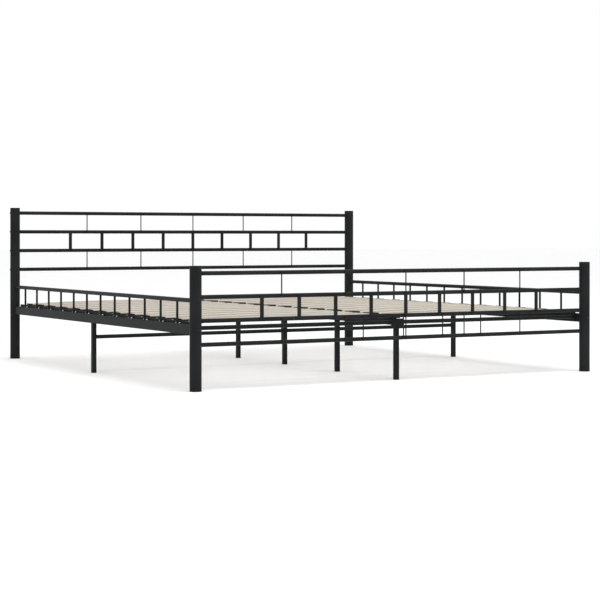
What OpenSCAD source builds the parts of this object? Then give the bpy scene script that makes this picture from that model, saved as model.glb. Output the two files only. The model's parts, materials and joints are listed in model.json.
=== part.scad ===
// Double bed frame: tubular steel headboard and footboard, guard-railed sides, five centre legs and
// thirteen rows of plywood slats. Millimetres, +Z up, +Y from the footboard to the headboard.
// The origin is on the floor, at the middle of the frame.

/* [Overall] */
// Distance between the centre lines of the left and right posts
post_span_x = 2032; // [2000:1:2100]
// Distance between the centre lines of the footboard and headboard posts
post_span_y = 2106; // [2080:1:2180]
// Height of the headboard posts, caps included
head_h = 780; // [770:1:1100]
// Height of the footboard posts, caps included
foot_h = 513; // [500:1:760]

/* [Tubes] */
// Outer diameter of the corner posts
post_d = 50; // [42:1:56]
// Outer diameter of the rails, guard rails and crossbars
rail_d = 18; // [16:1:19]
// Side of the square support legs
leg_w = 20; // [18:1:20]
// Wall thickness of every tube
wall = 1.5; // [1:0.1:2]

/* [Panels] */
// Height of the headboard's top rail centre
head_rail_top_z = 753.5; // [700:0.5:760]
// Height of the footboard's top rail centre
foot_rail_top_z = 482; // [470:0.5:490]
// Vertical distance from one panel rail to the next
rail_pitch = 97.5; // [90:0.5:100]
// Diameter of the thin vertical rods
rod_d = 5.5; // [4:0.5:6]
// Distance between the thin rods
rod_pitch = 312; // [290:1:320]
// Width of the flat straps
strap_w = 17; // [12:1:20]
// Thickness of the flat straps
strap_t = 4; // [2:0.5:4]
// Distance between the flat straps
strap_pitch = 179.5; // [170:0.5:185]
// How far the rods and straps are shifted towards the right
panel_shift_x = 4; // [0:1:6]
// Place across the bed of the first extra rod low in the footboard
extra_rod_x = -216.5; // [-240:0.5:-200]
// Distance between the extra rods low in the footboard
extra_rod_pitch = 208; // [200:1:220]

/* [Sides] */
// Height of the side rails' top face
side_rail_top_z = 270.5; // [268:0.5:275]
// Height of a side rail's section
side_rail_h = 40; // [36:1:44]
// Width of a side rail's section
side_rail_w = 20; // [18:1:20]
// Height of the guard rails' centre
guard_rail_z = 370.5; // [365:0.5:380]
// Diameter of the guard bars
guard_bar_d = 10; // [8:1:12]
// Number of guard bars along one side
guard_bars = 12; // [10:1:12]
// Distance between the guard bars
guard_bar_pitch = 162; // [158:1:162]
// How far the row of guard bars is shifted towards the headboard
guard_bar_shift = 10; // [0:1:15]

/* [Deck] */
// Number of slat rows
slat_rows = 13; // [10:1:13]
// Distance between the slat rows
slat_pitch = 159; // [150:0.5:160]
// How far the slat rows are shifted towards the headboard
slat_shift = 10; // [0:1:12]
// Width of a slat
slat_w = 66; // [60:1:68]
// Thickness of a slat
slat_t = 8; // [8:0.5:10]
// Rise of a slat's middle above its ends
slat_bow = 9.5; // [2:0.5:10]
// Height of the underside of a slat's end
slat_seat_z = 277; // [277:0.5:279]
// Width of the slat ledge inside each side rail
ledge_w = 60; // [56:1:64]

/* [Supports] */
// Height of the centre beam's section
beam_h = 30; // [25:1:32]
// Width of the centre beam's section
beam_w = 20; // [20:1:24]
// Places of the centre legs along the bed
centre_leg_y = [-993, -491, 9, 501, 993];
// Distance of the end crossbars from the middle of the bed
end_bar_y = 992; // [990:1:992]
// Height of the end crossbars' centre
end_bar_z = 254.5; // [252:0.5:256]
// Height of the middle crossbar's centre
mid_bar_z = 167; // [150:1:180]

/* [Hidden] */
$fn = 48;
post_x = post_span_x / 2;
post_y = post_span_y / 2;
head_rail_z = [for (i = [0:3]) head_rail_top_z - i * rail_pitch];
foot_rail_z = [for (i = [0:3]) foot_rail_top_z - i * rail_pitch];
rail_r = rail_d / 2;
side_rail_z = side_rail_top_z - side_rail_h / 2;
side_inner_x = post_x - side_rail_w / 2;
mid_leg_y = centre_leg_y[2];
cap_t = 2;
glide_t = 4;
plug_gap = 0.2;
cap_plug_h = 12;
bolt_d = 6;
bolt_hole_d = 6.5;
bolt_head_d = 12;
bolt_head_h = 2.5;
bolt_reach = 68;
insert_l = 14;
insert_gap = 4;
foot_plate = [16, 44, 1.2];
foot_screw_y = 15;
foot_screw_x = post_x - 3.5;
foot_screw_d = 4;
foot_screw_head_d = 8;
holder_w = 72;
holder_l = 60;
holder_wall = 2.5;
holder_stop_t = 4;
holder_top_z = slat_seat_z + slat_t + 1.5;
holder_cheek_z = slat_seat_z + 4;
holder_outer_x = side_inner_x - 39;
centre_holder_l = 60;
centre_cover = [40, 3];
slat_gap = 0.3;
peg_d = 7;
peg_hole_d = 7.5;
peg_l = 8;
peg_x = holder_outer_x - 10;
slat_end_x = holder_outer_x - 1;
slat_start_x = 5;
slat_steps = 24;
bracket = [66, 3, 31];
bracket_z = side_rail_top_z - bracket[2];
beam_end_y = end_bar_y - rail_r;
ledge_t = 3;
shelf_t = 2.5;
shelf_top_z = slat_seat_z - 2;
shelf_end_y = post_y - 63;
ledge_end_y = post_y - 53;
ledge_bottom_z = side_rail_top_z - 30;
ledge_top_z = side_rail_top_z + 12;
black = [0.13, 0.13, 0.135];
plastic = [0.09, 0.09, 0.09];
zinc = [0.78, 0.78, 0.76];
plywood = [0.80, 0.74, 0.64];
steel = [0.5, 0.5, 0.5];
side_names = ["left", "right"];
rail_names = ["top", "upper", "lower", "bottom"];

function side_sign(side) = side == "left" ? -1 : 1;
function slat_row_y(i) = (i - (slat_rows + 1) / 2) * slat_pitch + slat_shift;
function guard_bar_y(i) = (i - (guard_bars - 1) / 2) * guard_bar_pitch + guard_bar_shift;

// Shared shapes ------------------------------------------------------------------------------

module along_x() {
    rotate([0, 90, 0]) children();
}

module along_y() {
    rotate([-90, 0, 0]) children();
}

// Round tube along Z, standing on z = 0
module round_tube(length, d) {
    difference() {
        cylinder(h = length, d = d);
        translate([0, 0, -1]) cylinder(h = length + 2, d = d - 2 * wall);
    }
}

// Square or rectangular tube along Z, standing on z = 0
module box_tube(length, x, y) {
    difference() {
        translate([-x / 2, -y / 2, 0]) cube([x, y, length]);
        translate([wall - x / 2, wall - y / 2, -1]) cube([x - 2 * wall, y - 2 * wall, length + 2]);
    }
}

module at_each_post() {
    for (sx = [-1, 1])
        for (sy = [-1, 1])
            translate([sx * post_x, sy * post_y, 0]) children();
}

// The room that the four posts take, cut from every tube that ends on a post
module post_room() {
    at_each_post() cylinder(h = head_h, d = post_d);
}

// Button-head bolt along -Z, its head's underside at z = 0
module bolt() {
    difference() {
        cylinder(h = bolt_head_h, d1 = bolt_head_d, d2 = bolt_head_d - 3);
        translate([0, 0, 1]) cylinder(h = bolt_head_h, d = 4, $fn = 6);
    }
    translate([0, 0, -bolt_reach]) cylinder(h = bolt_reach, d = bolt_d);
}

// Headboard and footboard --------------------------------------------------------------------

module post(sx, sy, height, rail_zs) {
    color(black)
    difference() {
        translate([sx * post_x, sy * post_y, glide_t])
            round_tube(height - glide_t - cap_t, post_d);
        for (z = rail_zs)
            translate([sx * post_x - post_d, sy * post_y, z])
                along_x() cylinder(h = 2 * post_d, d = bolt_hole_d);
        for (z = [side_rail_z, guard_rail_z])
            translate([sx * post_x, sy * post_y - post_d, z])
                along_y() cylinder(h = 2 * post_d, d = bolt_hole_d);
    }
}

module panel_rail(y, z) {
    color(black)
    difference() {
        translate([-post_x, y, z]) along_x() round_tube(post_span_x, rail_d);
        post_room();
    }
}

// Thin rods on the foot side of the rails, from one rail's centre to another's
module rods(xs, y, z_low, z_high) {
    color(black)
    for (x = xs)
        translate([x, y - rail_r - rod_d / 2, z_low]) cylinder(h = z_high - z_low, d = rod_d);
}

module straps(y, z_low, z_high) {
    color(black)
    for (i = [-4:4])
        translate([panel_shift_x + i * strap_pitch - strap_w / 2, y - rail_r - strap_t, z_low])
            cube([strap_w, strap_t, z_high - z_low]);
}

module panel_rods(y, zs) {
    xs = [for (i = [-2:2]) panel_shift_x + i * rod_pitch];
    rods(xs, y, zs[1], zs[0]);
    rods(xs, y, zs[3], zs[2]);
}

module head_rail_inserts() {
    color(steel)
    for (sx = [-1, 1])
        for (z = head_rail_z)
            translate([sx * (post_x - post_d / 2 - insert_gap - insert_l / 2), post_y, z])
                along_x() round_insert();
}

// Threaded plug inside a rail's end, centred on z = 0
module round_insert() {
    difference() {
        translate([0, 0, -insert_l / 2]) cylinder(h = insert_l, d = rail_d - 2 * wall);
        translate([0, 0, -insert_l]) cylinder(h = 2 * insert_l, d = bolt_d);
    }
}

module head_rail_bolts() {
    color(black)
    for (sx = [-1, 1])
        for (z = head_rail_z)
            translate([sx * (post_x + post_d / 2), post_y, z]) rotate([0, sx * 90, 0]) bolt();
}

module cap(height) {
    color(plastic) {
        translate([0, 0, height - cap_t]) cylinder(h = cap_t, d = post_d);
        translate([0, 0, height - cap_t - cap_plug_h])
            cylinder(h = cap_plug_h, d = post_d - 2 * wall - plug_gap);
    }
}

module post_caps() {
    for (sx = [-1, 1]) {
        translate([sx * post_x, post_y, 0]) cap(head_h);
        translate([sx * post_x, -post_y, 0]) cap(foot_h);
    }
}

module post_glides() {
    color(plastic)
    at_each_post() {
        cylinder(h = glide_t, d = post_d);
        translate([0, 0, glide_t]) cylinder(h = cap_plug_h, d = post_d - 2 * wall - plug_gap);
    }
}

// Sides --------------------------------------------------------------------------------------

module side_rail(s) {
    color(black)
    difference() {
        translate([s * post_x, -post_y, side_rail_z])
            along_y() box_tube(post_span_y, side_rail_w, side_rail_h);
        post_room();
        for (i = [0:guard_bars - 1])
            for (dy = [-foot_screw_y, foot_screw_y])
                translate([s * foot_screw_x, guard_bar_y(i) + dy, side_rail_top_z - 2 * wall])
                    cylinder(h = 3 * wall, d = foot_screw_d + plug_gap);
    }
}

// Upright strip against the side rail, with the shelf that carries the slat holders
module slat_ledge(s) {
    color(black) {
        translate([s * (side_inner_x - ledge_t / 2) - ledge_t / 2, -ledge_end_y, ledge_bottom_z])
            cube([ledge_t, 2 * ledge_end_y, ledge_top_z - ledge_bottom_z]);
        difference() {
            translate([s * (side_inner_x - ledge_w / 2), slat_shift, shelf_top_z - shelf_t / 2])
                cube([ledge_w, 2 * shelf_end_y, shelf_t], center = true);
            for (i = [1:slat_rows])
                translate([s * peg_x, slat_row_y(i), shelf_top_z - 2 * shelf_t])
                    cylinder(h = 3 * shelf_t, d = peg_hole_d);
        }
    }
}

module guard_rail(s) {
    color(black)
    difference() {
        translate([s * post_x, -post_y, guard_rail_z]) along_y() round_tube(post_span_y, rail_d);
        post_room();
    }
}

// Guard bars, each cut to the round underside of the guard rail
module guard_bar_row(s) {
    bar_z = side_rail_top_z + foot_plate[2];
    color(black)
    for (i = [0:guard_bars - 1])
        translate([s * post_x, guard_bar_y(i), 0])
            difference() {
                translate([0, 0, bar_z]) cylinder(h = guard_rail_z - bar_z, d = guard_bar_d);
                translate([0, -guard_bar_d, guard_rail_z])
                    along_y() cylinder(h = 2 * guard_bar_d, d = rail_d);
            }
}

// Foot plates and their screws, the screws a little inward of the bars
module at_each_foot_screw() {
    for (s = [-1, 1])
        for (i = [0:guard_bars - 1])
            for (dy = [-foot_screw_y, foot_screw_y])
                translate([s * foot_screw_x, guard_bar_y(i) + dy, side_rail_top_z]) children();
}

module guard_bar_feet() {
    color(black)
    difference() {
        for (s = [-1, 1])
            for (i = [0:guard_bars - 1])
                translate([s * post_x, guard_bar_y(i), side_rail_top_z + foot_plate[2] / 2])
                    cube(foot_plate, center = true);
        at_each_foot_screw()
            translate([0, 0, -1]) cylinder(h = foot_plate[2] + 2, d = foot_screw_d + plug_gap);
    }
}

module guard_foot_screws() {
    color(zinc)
    at_each_foot_screw()
        translate([0, 0, foot_plate[2]]) {
            cylinder(h = 1.6, d = foot_screw_head_d);
            translate([0, 0, 1.6]) cylinder(h = 1.4, d1 = foot_screw_head_d, d2 = foot_screw_head_d - 3);
            translate([0, 0, -10]) cylinder(h = 10, d = foot_screw_d);
        }
}

module side_rail_inserts() {
    color(steel)
    for (sx = [-1, 1])
        for (sy = [-1, 1])
            translate([sx * post_x, sy * (post_y - post_d / 2 - insert_gap - insert_l / 2), side_rail_z])
                along_y()
                    difference() {
                        cube([side_rail_w - 2 * wall, side_rail_h - 2 * wall, insert_l], center = true);
                        translate([0, 0, -insert_l]) cylinder(h = 2 * insert_l, d = bolt_d);
                    }
}

module guard_rail_inserts() {
    color(steel)
    for (sx = [-1, 1])
        for (sy = [-1, 1])
            translate([sx * post_x, sy * (post_y - post_d / 2 - insert_gap - insert_l / 2), guard_rail_z])
                along_y() round_insert();
}

module side_bolts() {
    color(black)
    for (sx = [-1, 1])
        for (sy = [-1, 1])
            for (z = [side_rail_z, guard_rail_z])
                translate([sx * post_x, sy * (post_y + post_d / 2), z]) rotate([-sy * 90, 0, 0]) bolt();
}

// Supports -----------------------------------------------------------------------------------

module leg(x, y, top_z) {
    color(black)
    translate([x, y, glide_t]) box_tube(top_z - glide_t, leg_w, leg_w);
}

module centre_legs() {
    beam_bottom_z = side_rail_top_z - beam_h;
    end_bar_bottom_z = end_bar_z - rail_r;
    for (y = centre_leg_y)
        leg(0, y, abs(y) > beam_end_y ? end_bar_bottom_z : beam_bottom_z);
}

module leg_glide() {
    plug_w = leg_w - 2 * wall - plug_gap;
    color(plastic) {
        translate([-leg_w / 2, -leg_w / 2, 0]) cube([leg_w, leg_w, glide_t]);
        translate([-plug_w / 2, -plug_w / 2, glide_t]) cube([plug_w, plug_w, cap_plug_h]);
    }
}

module leg_glides() {
    for (y = centre_leg_y)
        translate([0, y, 0]) leg_glide();
    for (s = [-1, 1])
        translate([s * post_x, mid_leg_y, 0]) leg_glide();
}

module mid_crossbar(s) {
    length = post_x - leg_w;
    color(black)
    translate([s * post_x / 2 - length / 2, mid_leg_y, mid_bar_z]) along_x() round_tube(length, rail_d);
}

module end_crossbar(sy) {
    reach = side_inner_x - ledge_t;
    color(black)
    translate([-reach, sy * end_bar_y, end_bar_z]) along_x() round_tube(2 * reach, rail_d);
}

module centre_beam() {
    color(black)
    difference() {
        translate([0, -beam_end_y, side_rail_top_z - beam_h / 2])
            along_y() box_tube(2 * beam_end_y, beam_w, beam_h);
        for (i = [1:slat_rows])
            translate([0, slat_row_y(i), side_rail_top_z - 2 * wall]) cylinder(h = 3 * wall, d = peg_hole_d);
    }
}

// Plates over the outer faces of the end legs and crossbars
module beam_brackets() {
    y = max(centre_leg_y) + leg_w / 2;
    color(black)
    for (sy = [-1, 1])
        translate([-bracket[0] / 2, sy * (y + bracket[1] / 2) - bracket[1] / 2, bracket_z])
            cube(bracket);
}

// Deck ---------------------------------------------------------------------------------------

module peg(top_z) {
    translate([0, 0, top_z - peg_l]) cylinder(h = peg_l, d = peg_d);
}

// A row of bars along Y, one at each slat row, from an outline in X and Z
module row_bars(outline, s, width) {
    for (i = [1:slat_rows])
        translate([0, slat_row_y(i) + width / 2, 0])
            rotate([90, 0, 0])
                linear_extrude(height = width) polygon([for (p = outline) [s * p[0], p[1]]]);
}

// Shoes on the ledge that hold the slats' outer ends, with low cheeks and an end stop
module slat_holders(s) {
    inner_x = holder_outer_x - holder_l;
    end_x = holder_outer_x + holder_stop_t;
    shell = [
        [inner_x, shelf_top_z], [end_x, shelf_top_z], [end_x, holder_top_z],
        [holder_outer_x, holder_top_z], [holder_outer_x, holder_cheek_z], [inner_x, holder_cheek_z]
    ];
    pocket = [
        [inner_x - 1, slat_seat_z], [holder_outer_x, slat_seat_z],
        [holder_outer_x, holder_top_z + 1], [inner_x - 1, holder_top_z + 1]
    ];
    color(plastic) {
        difference() {
            row_bars(shell, s, holder_w);
            row_bars(pocket, s, slat_w + 2 * slat_gap);
        }
        for (i = [1:slat_rows])
            translate([s * peg_x, slat_row_y(i), 0]) peg(shelf_top_z);
    }
}

// Double holders on the centre beam: a tray, two cheeks, a divider and a cover over the slats' ends
module centre_holders() {
    tray_h = slat_seat_z - side_rail_top_z;
    cover_z = slat_seat_z + slat_t + 1;
    cover_l = centre_cover[0];
    pocket = [centre_holder_l / 4, holder_w - 2 * holder_wall, 2 * (tray_h - holder_wall)];
    color(plastic)
    for (i = [1:slat_rows])
        translate([0, slat_row_y(i), 0]) {
            difference() {
                translate([-centre_holder_l / 2, -holder_w / 2, side_rail_top_z])
                    cube([centre_holder_l, holder_w, tray_h]);
                for (sx = [-1, 1])
                    translate([sx * pocket[0], 0, side_rail_top_z]) cube(pocket, center = true);
            }
            for (sy = [-1, 1])
                translate([-cover_l / 2, sy * (holder_w - holder_wall) / 2 - holder_wall / 2, slat_seat_z])
                    cube([cover_l, holder_wall, cover_z - slat_seat_z]);
            translate([-holder_stop_t, -holder_w / 2, slat_seat_z])
                cube([2 * holder_stop_t, holder_w, cover_z - slat_seat_z]);
            translate([-cover_l / 2, -holder_w / 2, cover_z]) cube([cover_l, holder_w, centre_cover[1]]);
            peg(side_rail_top_z);
        }
}

// Height that the bow adds at a distance t, from 0 to 1, along a slat
function bow_z(t) = slat_bow * (1 - pow(2 * t - 1, 2));

module slat(s) {
    slat_l = slat_end_x - slat_start_x;
    under = [for (i = [0:slat_steps]) [i / slat_steps * slat_l, bow_z(i / slat_steps)]];
    over = [for (i = [slat_steps:-1:0]) [i / slat_steps * slat_l, bow_z(i / slat_steps) + slat_t]];
    x = s < 0 ? -slat_end_x : slat_start_x;
    color(plywood)
    translate([x, slat_w / 2, slat_seat_z])
        rotate([90, 0, 0])
            linear_extrude(height = slat_w) polygon(concat(under, over));
}

module slat_row(i) {
    for (s = [-1, 1])
        translate([0, slat_row_y(i), 0]) slat(s);
}

// Assembly -----------------------------------------------------------------------------------

for (side = side_names) {
    s = side_sign(side);
    post(s, 1, head_h, head_rail_z);
    post(s, -1, foot_h, []);
    side_rail(s);
    slat_ledge(s);
    guard_rail(s);
    guard_bar_row(s);
    leg(s * post_x, mid_leg_y, side_rail_top_z - side_rail_h);
    mid_crossbar(s);
    slat_holders(s);
}
for (i = [0:3]) {
    panel_rail(post_y, head_rail_z[i]);
    panel_rail(-post_y, foot_rail_z[i]);
}
for (i = [1:slat_rows]) {
    slat_row(i);
}
panel_rods(post_y, head_rail_z);  // head_rods
straps(post_y, head_rail_z[2], head_rail_z[1]);  // head_straps
head_rail_inserts();
head_rail_bolts();
panel_rods(-post_y, foot_rail_z);  // foot_rods
rods([for (i = [0:3]) extra_rod_x + i * extra_rod_pitch], -post_y, foot_rail_z[3], foot_rail_z[2]);  // foot_extra_rods
straps(-post_y, foot_rail_z[2], foot_rail_z[1]);  // foot_straps
post_caps();
post_glides();
guard_bar_feet();
guard_foot_screws();
side_rail_inserts();
guard_rail_inserts();
side_bolts();
end_crossbar(-1);  // end_crossbar_foot
end_crossbar(1);  // end_crossbar_head
centre_beam();
beam_brackets();
centre_legs();
leg_glides();
centre_holders();
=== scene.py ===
import json
import math
import random

import bmesh
import bpy
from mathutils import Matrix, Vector


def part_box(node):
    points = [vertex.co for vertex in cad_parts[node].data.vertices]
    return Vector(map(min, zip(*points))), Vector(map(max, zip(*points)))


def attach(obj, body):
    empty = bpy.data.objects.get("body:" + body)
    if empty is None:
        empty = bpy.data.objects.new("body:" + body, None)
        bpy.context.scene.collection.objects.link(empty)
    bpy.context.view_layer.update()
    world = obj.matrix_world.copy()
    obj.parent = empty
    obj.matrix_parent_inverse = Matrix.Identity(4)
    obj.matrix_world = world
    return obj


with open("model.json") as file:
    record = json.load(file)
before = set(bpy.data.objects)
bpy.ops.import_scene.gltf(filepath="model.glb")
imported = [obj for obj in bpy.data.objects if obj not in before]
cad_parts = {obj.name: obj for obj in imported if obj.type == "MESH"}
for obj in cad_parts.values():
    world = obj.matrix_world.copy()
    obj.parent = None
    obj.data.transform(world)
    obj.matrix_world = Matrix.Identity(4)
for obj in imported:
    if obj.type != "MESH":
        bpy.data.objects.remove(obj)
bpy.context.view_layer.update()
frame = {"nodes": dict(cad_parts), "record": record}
NODES = frame["nodes"]
scene = bpy.context.scene
MM = 0.001

# Camera ---------------------------------------------------------------------------------------

CAMERA_PLACE = (-4.003, -7.090, 0.635)
CAMERA_TURN = -29.95
CAMERA_LENS = 98.91
CAMERA_SHIFT = -0.1069


def make_camera():
    data = bpy.data.cameras.new("camera")
    camera = bpy.data.objects.new("camera", data)
    scene.collection.objects.link(camera)
    camera.location = CAMERA_PLACE
    camera.rotation_euler = (math.radians(90), 0, math.radians(CAMERA_TURN))
    data.sensor_width = 36
    data.lens = CAMERA_LENS
    data.shift_y = CAMERA_SHIFT
    data.clip_end = 200
    scene.camera = camera


# Materials ------------------------------------------------------------------------------------


def new_material(name):
    material = bpy.data.materials.new(name)
    material.use_nodes = True
    tree = material.node_tree
    return material, tree, tree.nodes["Principled BSDF"]


def add(tree, kind, inputs=None, **settings):
    """A new shader node: an input is linked when it is given a socket, and set otherwise."""
    node = tree.nodes.new(kind)
    for key, value in settings.items():
        setattr(node, key, value)
    for key, value in (inputs or {}).items():
        if isinstance(value, bpy.types.NodeSocket):
            tree.links.new(value, node.inputs[key])
        else:
            node.inputs[key].default_value = value
    return node


def ramp(tree, factor, low, high, start=0.3, end=0.7):
    node = add(tree, "ShaderNodeValToRGB", {0: factor})
    node.color_ramp.elements[0].position = start
    node.color_ramp.elements[0].color = low
    node.color_ramp.elements[1].position = end
    node.color_ramp.elements[1].color = high
    return node.outputs["Color"]


def grey(value, warm=0.0):
    return (value * (1 + warm), value, value * (1 - warm), 1)


def spread(tree, factor, low, high):
    node = add(tree, "ShaderNodeMapRange", {0: factor, 3: low, 4: high})
    return node.outputs[0]


def mix(tree, amount, first, second):
    node = add(tree, "ShaderNodeMix", {0: amount, 6: first, 7: second}, data_type="RGBA")
    return node.outputs[2]


# Pale grey mixed into the upward faces of the dark finishes, and how much at most: a painted highlight
# from above
TOP_LIGHT_GREY = grey(0.30, 0.04)
MOST_TOP_LIGHT = 0.05


def coated_metal(name, tone, roughness, peel_scale, peel_height, metallic, specular):
    """Black paint, oxide or moulded plastic: fine relief, uneven tone and gloss, a painted highlight on
    upward faces.
    """
    material, tree, shader = new_material(name)
    place = add(tree, "ShaderNodeTexCoord").outputs["Object"]
    cloud = add(tree, "ShaderNodeTexNoise", {"Vector": place, "Scale": 9.0, "Detail": 4.0})
    fleck = add(tree, "ShaderNodeTexNoise", {"Vector": place, "Scale": peel_scale, "Detail": 2.0})
    both = add(
        tree, "ShaderNodeMath", {0: cloud.outputs[0], 1: fleck.outputs[0]}, operation="MULTIPLY"
    )
    paint = ramp(tree, both.outputs[0], grey(tone * 0.72, -0.05), grey(tone * 1.28, -0.05), 0.15, 0.4)
    # Upward faces, mottled by the cloud noise, are paled towards the grey as a painted highlight from
    # above
    normal = add(tree, "ShaderNodeNewGeometry").outputs["Normal"]
    upward = add(tree, "ShaderNodeSeparateXYZ", {0: normal}).outputs["Z"]
    lit_from_above = add(tree, "ShaderNodeMath", {0: upward, 1: cloud.outputs[0]}, operation="MULTIPLY")
    amount = add(tree, "ShaderNodeMapRange", {0: lit_from_above.outputs[0], 1: 0.3, 2: 0.9, 3: 0.0, 4: MOST_TOP_LIGHT})
    colour = mix(tree, amount.outputs[0], paint, TOP_LIGHT_GREY)
    tree.links.new(colour, shader.inputs["Base Color"])
    gloss = spread(tree, both.outputs[0], roughness - 0.14, roughness + 0.22)
    tree.links.new(gloss, shader.inputs["Roughness"])
    bump = add(
        tree,
        "ShaderNodeBump",
        {"Height": fleck.outputs[0], "Distance": peel_height, "Strength": 0.7},
    )
    tree.links.new(bump.outputs[0], shader.inputs["Normal"])
    shader.inputs["Metallic"].default_value = metallic
    shader.inputs["Specular IOR Level"].default_value = specular
    return material


# Name, tone, roughness, scale and height in metres of the orange peel, metallic, specular
POWDER = coated_metal("powder_coat", 0.0150, 0.50, 900.0, 0.00014, 0.0, 0.06)
BOLT = coated_metal("black_bolt", 0.010, 0.40, 600.0, 0.00005, 0.3, 0.3)
PLASTIC = coated_metal("black_plastic", 0.013, 0.52, 1600.0, 0.00007, 0.0, 0.08)


def bright_metal(name, tone, roughness):
    """Plated or plain steel: mottled tone, faint relief and uneven gloss."""
    material, tree, shader = new_material(name)
    place = add(tree, "ShaderNodeTexCoord").outputs["Object"]
    cloud = add(tree, "ShaderNodeTexNoise", {"Vector": place, "Scale": 450.0, "Detail": 4.0})
    colour = ramp(tree, cloud.outputs[0], grey(tone * 0.7, 0.03), grey(tone, 0.0))
    tree.links.new(colour, shader.inputs["Base Color"])
    gloss = spread(tree, cloud.outputs[0], roughness - 0.1, roughness + 0.15)
    tree.links.new(gloss, shader.inputs["Roughness"])
    bump = add(tree, "ShaderNodeBump", {"Height": cloud.outputs[0], "Distance": 0.0001, "Strength": 0.5})
    tree.links.new(bump.outputs[0], shader.inputs["Normal"])
    shader.inputs["Metallic"].default_value = 1.0
    return material


ZINC = bright_metal("zinc_screw", 0.95, 0.30)
STEEL = bright_metal("steel_insert", 0.55, 0.4)

# Plywood colours, and how far its grain and pores are drawn out along a slat
DARK_GRAIN = (0.395, 0.357, 0.302, 1)
PALE_GRAIN = (0.525, 0.490, 0.432, 1)
PORES = (0.285, 0.232, 0.172, 1)
WARM_SLAT = (0.540, 0.482, 0.395, 1)
GLUE_LINE = (0.25, 0.18, 0.12, 1)
GRAIN_STRETCH = (3.0, 75.0, 40.0)
PORE_STRETCH = (16.0, 900.0, 300.0)

# The slats' own shape, which the plies on their edges follow
PLIES = 5
SLAT_LOW, SLAT_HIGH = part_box("slat_row_7")
SLAT_END = SLAT_HIGH.x
SLAT_START = 5 * MM
SLAT_THICK = 8 * MM
SLAT_SEAT = SLAT_LOW.z
SLAT_BOW = SLAT_HIGH.z - SLAT_LOW.z - SLAT_THICK
SLAT_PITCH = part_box("slat_row_8")[0].y - SLAT_LOW.y


def maths(tree, operation, first, second=0.0):
    return add(tree, "ShaderNodeMath", {0: first, 1: second}, operation=operation).outputs[0]


def ply_lines(tree, x, z):
    """0 to 1 across each ply of a slat's edge, following the slat's bow."""
    along = maths(tree, "SUBTRACT", maths(tree, "ABSOLUTE", x), SLAT_START)
    swing = maths(tree, "SUBTRACT", maths(tree, "MULTIPLY", along, 2 / (SLAT_END - SLAT_START)), 1.0)
    arch = maths(tree, "SUBTRACT", 1.0, maths(tree, "MULTIPLY", swing, swing))
    bow = maths(tree, "MULTIPLY", arch, SLAT_BOW)
    height = maths(tree, "SUBTRACT", maths(tree, "SUBTRACT", z, SLAT_SEAT), bow)
    return maths(tree, "FRACT", maths(tree, "MULTIPLY", height, PLIES / SLAT_THICK))


def plywood():
    """Sanded pale plywood: long fine grain on the faces, thin plies on the edges, slats that differ."""
    material, tree, shader = new_material("plywood")
    place = add(tree, "ShaderNodeTexCoord").outputs["Object"]
    axes = add(tree, "ShaderNodeSeparateXYZ", {0: place})
    row = maths(tree, "ROUND", maths(tree, "DIVIDE", axes.outputs["Y"], SLAT_PITCH))
    half = maths(tree, "SIGN", axes.outputs["X"])
    slat = add(tree, "ShaderNodeCombineXYZ", {0: half, 1: row, 2: 0.0}).outputs[0]
    each = add(tree, "ShaderNodeTexWhiteNoise", {"Vector": slat}, noise_dimensions="3D")
    offset = {0: place, 1: each.outputs["Color"]}
    shifted = add(tree, "ShaderNodeVectorMath", offset, operation="ADD").outputs[0]
    stretched = add(tree, "ShaderNodeMapping", {"Vector": shifted, "Scale": GRAIN_STRETCH}).outputs[0]
    grain = add(
        tree,
        "ShaderNodeTexNoise",
        {"Vector": stretched, "Scale": 2.4, "Detail": 7.0, "Roughness": 0.62},
    )
    fine = add(tree, "ShaderNodeMapping", {"Vector": shifted, "Scale": PORE_STRETCH}).outputs[0]
    pores = add(tree, "ShaderNodeTexNoise", {"Vector": fine, "Scale": 1.3, "Detail": 3.0})
    wood = ramp(tree, grain.outputs[0], DARK_GRAIN, PALE_GRAIN)
    dark = add(tree, "ShaderNodeMapRange", {0: pores.outputs[0], 1: 0.56, 2: 0.74, 3: 0.0, 4: 0.30})
    wood = mix(tree, dark.outputs[0], wood, PORES)
    wood = mix(tree, spread(tree, each.outputs["Value"], 0.0, 0.16), wood, WARM_SLAT)
    ply = ply_lines(tree, axes.outputs["X"], axes.outputs["Z"])
    off_middle = maths(tree, "ABSOLUTE", maths(tree, "SUBTRACT", ply, 0.5))
    glue = add(tree, "ShaderNodeMapRange", {0: off_middle, 1: 0.34, 2: 0.46}, clamp=True)
    normal = add(tree, "ShaderNodeSeparateXYZ", {0: add(tree, "ShaderNodeNewGeometry").outputs["Normal"]})
    facing = maths(tree, "SUBTRACT", 1.0, maths(tree, "ABSOLUTE", normal.outputs["Z"]))
    edge = add(tree, "ShaderNodeMapRange", {0: facing, 1: 0.5, 2: 0.8, 3: 0.0, 4: 0.5}).outputs[0]
    wood = mix(tree, maths(tree, "MULTIPLY", edge, glue.outputs[0]), wood, GLUE_LINE)
    tree.links.new(wood, shader.inputs["Base Color"])
    tree.links.new(spread(tree, grain.outputs[0], 0.5, 0.72), shader.inputs["Roughness"])
    bump = add(tree, "ShaderNodeBump", {"Height": pores.outputs[0], "Distance": 0.0002, "Strength": 0.5})
    tree.links.new(bump.outputs[0], shader.inputs["Normal"])
    shader.inputs["Specular IOR Level"].default_value = 0.3
    return material


PLYWOOD = plywood()
MATERIALS = {
    "powder_coat": POWDER,
    "black_bolt": BOLT,
    "black_plastic": PLASTIC,
    "zinc_screw": ZINC,
    "steel_insert": STEEL,
    "plywood": PLYWOOD,
}

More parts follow.
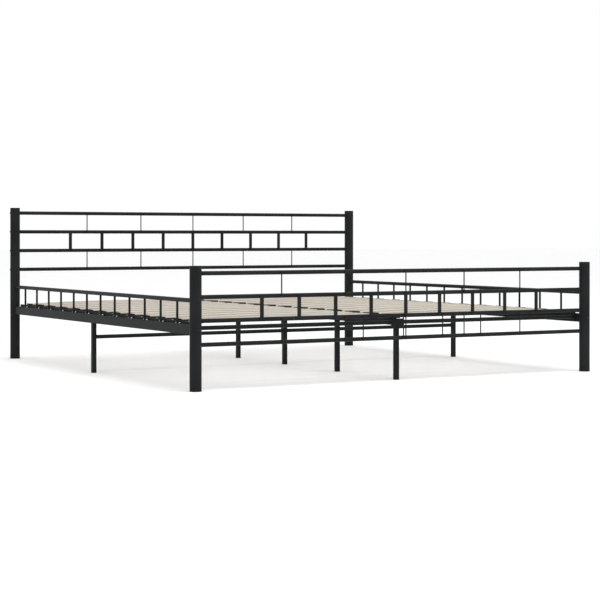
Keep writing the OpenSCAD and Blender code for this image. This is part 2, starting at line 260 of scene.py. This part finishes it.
# Edge widths in millimetres, by a part of the node's name
BEVELS = {
    "post_caps": 1.6,
    "post_glides": 1.0,
    "leg_glides": 0.8,
    "side_rail": 1.3,
    "side_leg": 1.2,
    "centre_legs": 1.2,
    "centre_beam": 1.2,
    "slat_ledge": 0.5,
    "slat_holders": 0.7,
    "centre_holders": 0.8,
    "slat_row": 1.0,
    "straps": 0.7,
    "rods": 0.6,
    "brackets": 0.7,
    "guard_bar_feet": 0.3,
    "guard_foot_screws": 0.3,
    "bolts": 0.4,
}


WELD_REACH = 0.01 * MM
SHARP_EDGE = math.radians(35)


def soften(node, width):
    """Rounds the sharp edges of a CAD node with modifiers, leaving its mesh alone."""
    weld = NODES[node].modifiers.new("weld", "WELD")
    weld.merge_threshold = WELD_REACH
    bevel = NODES[node].modifiers.new("bevel", "BEVEL")
    bevel.width = width * MM
    bevel.segments = 2
    bevel.limit_method = "ANGLE"
    bevel.angle_limit = SHARP_EDGE
    NODES[node].modifiers.new("normals", "WEIGHTED_NORMAL")


def dress_nodes():
    for part in frame["record"]["subparts"]:
        node = part["node"]
        data = NODES[node].data
        data.materials.clear()
        data.materials.append(MATERIALS[part["material_slot"]])
        for name, width in BEVELS.items():
            if name in node:
                soften(node, width)


# Weld beads -----------------------------------------------------------------------------------

chance = random.Random(11)


def solids(node):
    """Low and high corners of each separate solid of a CAD node, in order of place."""
    mesh = bmesh.new()
    mesh.from_mesh(NODES[node].data)
    bmesh.ops.remove_doubles(mesh, verts=mesh.verts, dist=0.000001)
    left = set(mesh.verts)
    boxes = []
    while left:
        stack = [left.pop()]
        group = []
        while stack:
            vert = stack.pop()
            group.append(vert.co.copy())
            near = {edge.other_vert(vert) for edge in vert.link_edges} & left
            left -= near
            stack.extend(near)
        low = Vector([min(p[k] for p in group) for k in range(3)])
        high = Vector([max(p[k] for p in group) for k in range(3)])
        boxes.append((low, high))
    mesh.free()
    return sorted(boxes, key=lambda box: tuple(round(v, 5) for v in box[0]))


def add_bead(mesh, path, radius, closed, sides=6):
    """A tube along a path, its thickness rippled and uneven like laid weld metal."""
    rings = []
    count = len(path)
    for k, point in enumerate(path):
        after = path[(k + 1) % count] if closed else path[min(k + 1, count - 1)]
        before = path[k - 1] if closed else path[max(k - 1, 0)]
        along = (after - before).normalized()
        aside = along.orthogonal().normalized()
        other = along.cross(aside)
        thick = radius * (1 + (0.14 if k % 2 else -0.10) + chance.uniform(-0.08, 0.08))
        if not closed and k in (0, count - 1):
            thick *= 0.35
        ring = []
        for s in range(sides):
            angle = 2 * math.pi * s / sides
            spot = point + (aside * math.cos(angle) + other * math.sin(angle)) * thick
            ring.append(mesh.verts.new(spot))
        rings.append(ring)
    for k in range(count if closed else count - 1):
        first = rings[k]
        second = rings[(k + 1) % count]
        turn = min(range(sides), key=lambda n: (second[n].co - first[0].co).length)
        for s in range(sides):
            corners = (first[s], first[(s + 1) % sides])
            opposite = (second[(s + 1 + turn) % sides], second[(s + turn) % sides])
            mesh.faces.new(corners + opposite)
    if not closed:
        mesh.faces.new(list(reversed(rings[0])))
        mesh.faces.new(rings[-1])


def circle(count):
    for k in range(count):
        angle = 2 * math.pi * k / count
        yield math.cos(angle), math.sin(angle)


def line(first, last, step=0.0012):
    count = max(4, round((last - first).length / step))
    return [first.lerp(last, k / count) for k in range(count + 1)]


def middle(box):
    return (box[0] + box[1]) / 2


def make_piece(name, mesh, slot):
    bmesh.ops.recalc_face_normals(mesh, faces=mesh.faces)
    for face in mesh.faces:
        face.smooth = True
    data = bpy.data.meshes.new(name)
    mesh.to_mesh(data)
    mesh.free()
    piece = bpy.data.objects.new(name, data)
    scene.collection.objects.link(piece)
    data.materials.append(MATERIALS[slot])
    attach(piece, "root")


RAIL_NAMES = ("top", "upper", "lower", "bottom")
SIDES = ("left", "right")
BEAD = 1.5 * MM
SMALL_BEAD = 0.9 * MM
ROD_BEAD = 6 * MM
STRAP_BEAD = 7 * MM
STITCHES = 9
STITCH = 30 * MM


def post_beads(mesh):
    """Around each footboard rail where it meets its posts."""
    for side in SIDES:
        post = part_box(f"foot_post_{side}")
        post_r = (post[1].x - post[0].x) / 2
        sign = -1 if side == "left" else 1
        for name in RAIL_NAMES:
            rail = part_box(f"foot_rail_{name}")
            rail_r = (rail[1].z - rail[0].z) / 2
            path = []
            for c, s in circle(44):
                y = rail_r * c
                x = middle(post).x - sign * math.sqrt(post_r**2 - y**2)
                path.append(Vector((x, middle(rail).y + y, middle(rail).z + rail_r * s)))
            add_bead(mesh, path, BEAD, True)


def rod_beads(mesh, node, rail_node, reach):
    """Down both sides of each rod or strap, at both of its ends, where it lies on a rail."""
    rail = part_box(rail_node)
    rail_r = (rail[1].z - rail[0].z) / 2
    rail_y = middle(rail).y
    for low, high in solids(node):
        for end, inward in ((low.z, 1), (high.z, -1)):
            for x in (low.x, high.x):
                path = []
                for k in range(8):
                    rise = reach * k / 7
                    y = rail_y - math.sqrt(rail_r**2 - rise**2) - 0.5 * MM
                    path.append(Vector((x, y, end + inward * rise)))
                add_bead(mesh, path, SMALL_BEAD, False, 5)


def guard_beads(mesh):
    """Around the top and the foot of every guard bar."""
    for side in SIDES:
        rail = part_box(f"guard_rail_{side}")
        rail_r = (rail[1].z - rail[0].z) / 2
        plate_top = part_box("guard_bar_feet")[1].z
        for low, high in solids(f"guard_bars_{side}"):
            bar = middle((low, high))
            bar_r = (high.x - low.x) / 2
            top = []
            foot = []
            for c, s in circle(26):
                z = middle(rail).z - math.sqrt(rail_r**2 - (bar_r * c) ** 2)
                top.append(Vector((bar.x + bar_r * c, bar.y + bar_r * s, z)))
                foot.append(Vector((bar.x + bar_r * c, bar.y + bar_r * s, plate_top)))
            add_bead(mesh, top, SMALL_BEAD, True, 5)
            add_bead(mesh, foot, SMALL_BEAD, True, 5)


def leg_beads(mesh):
    """Around the tops of the square legs."""
    for node in ("side_leg_left", "side_leg_right", "centre_legs"):
        for low, high in solids(node):
            corners = [(low.x, low.y), (high.x, low.y), (high.x, high.y), (low.x, high.y)]
            for k in range(4):
                first = Vector((*corners[k], high.z))
                last = Vector((*corners[(k + 1) % 4], high.z))
                add_bead(mesh, line(first, last), BEAD * 0.8, False)


def crossbar_beads(mesh):
    """Around both ends of every crossbar."""
    bars = ("mid_crossbar_left", "mid_crossbar_right", "end_crossbar_foot", "end_crossbar_head")
    for node in bars:
        low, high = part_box(node)
        bar = middle((low, high))
        bar_r = (high.z - low.z) / 2
        for x in (low.x, high.x):
            path = [Vector((x, bar.y + bar_r * c, bar.z + bar_r * s)) for c, s in circle(44)]
            add_bead(mesh, path, BEAD, True)


def stitch_beads(mesh):
    """Short stitches along each side rail's top, against the upright strip of the ledge."""
    for side in SIDES:
        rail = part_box(f"side_rail_{side}")
        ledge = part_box(f"slat_ledge_{side}")
        x = rail[1].x if side == "left" else rail[0].x
        for k in range(STITCHES):
            y = ledge[0].y + (k + 0.5) / STITCHES * (ledge[1].y - ledge[0].y)
            first = Vector((x, y - STITCH / 2, rail[1].z))
            last = Vector((x, y + STITCH / 2, rail[1].z))
            add_bead(mesh, line(first, last), BEAD, False)


def bracket_beads(mesh):
    """Along both upright edges of the plates on the end crossbars."""
    for low, high in solids("beam_brackets"):
        y = low.y if low.y > 0 else high.y
        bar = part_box("end_crossbar_head" if y > 0 else "end_crossbar_foot")
        for x in (low.x, high.x):
            first = Vector((x, y, bar[0].z + 3 * MM))
            last = Vector((x, y, bar[1].z - 3 * MM))
            add_bead(mesh, line(first, last), BEAD, False)


def make_welds():
    groups = {
        "weld_beads_footboard": (
            post_beads,
            lambda mesh: rod_beads(mesh, "foot_rods", "foot_rail_top", ROD_BEAD),
            lambda mesh: rod_beads(mesh, "foot_extra_rods", "foot_rail_top", ROD_BEAD),
            lambda mesh: rod_beads(mesh, "foot_straps", "foot_rail_top", STRAP_BEAD),
        ),
        "weld_beads_headboard": (
            lambda mesh: rod_beads(mesh, "head_rods", "head_rail_top", ROD_BEAD),
            lambda mesh: rod_beads(mesh, "head_straps", "head_rail_top", STRAP_BEAD),
        ),
        "weld_beads_sides": (guard_beads, stitch_beads),
        "weld_beads_supports": (leg_beads, crossbar_beads, bracket_beads),
    }
    for name, makers in groups.items():
        mesh = bmesh.new()
        for maker in makers:
            maker(mesh)
        make_piece(name, mesh, "powder_coat")


# Stage ----------------------------------------------------------------------------------------


FLOOR_HALF = 60
FLOOR_TONE = grey(0.975)
KEY_PLACE = (0.5, -3.0, 6.0)
KEY_SIZE = 5.0
KEY_POWER = 230
KEY_AIM = Vector((0, 0, 0.3))


def make_floor():
    mesh = bpy.data.meshes.new("floor")
    size = FLOOR_HALF
    corners = [(-size, -size, 0), (size, -size, 0), (size, size, 0), (-size, size, 0)]
    mesh.from_pydata(corners, [], [(0, 1, 2, 3)])
    floor = bpy.data.objects.new("floor", mesh)
    scene.collection.objects.link(floor)
    material, tree, shader = new_material("floor")
    shader.inputs["Base Color"].default_value = FLOOR_TONE
    shader.inputs["Roughness"].default_value = 0.9
    mesh.materials.append(material)


def make_light(name, place, size, power):
    data = bpy.data.lights.new(name, "AREA")
    data.size = size
    data.energy = power
    light = bpy.data.objects.new(name, data)
    light.location = place
    light.rotation_euler = (KEY_AIM - Vector(place)).to_track_quat("-Z", "Y").to_euler()
    scene.collection.objects.link(light)


def make_world():
    world = bpy.data.worlds.new("world")
    world.use_nodes = True
    world.node_tree.nodes["Background"].inputs["Color"].default_value = (1, 1, 1, 1)
    world.node_tree.nodes["Background"].inputs["Strength"].default_value = 1.0
    scene.world = world
    scene.view_settings.view_transform = "Standard"


make_camera()
dress_nodes()
make_welds()
make_floor()
make_world()
make_light("key", KEY_PLACE, KEY_SIZE, KEY_POWER)
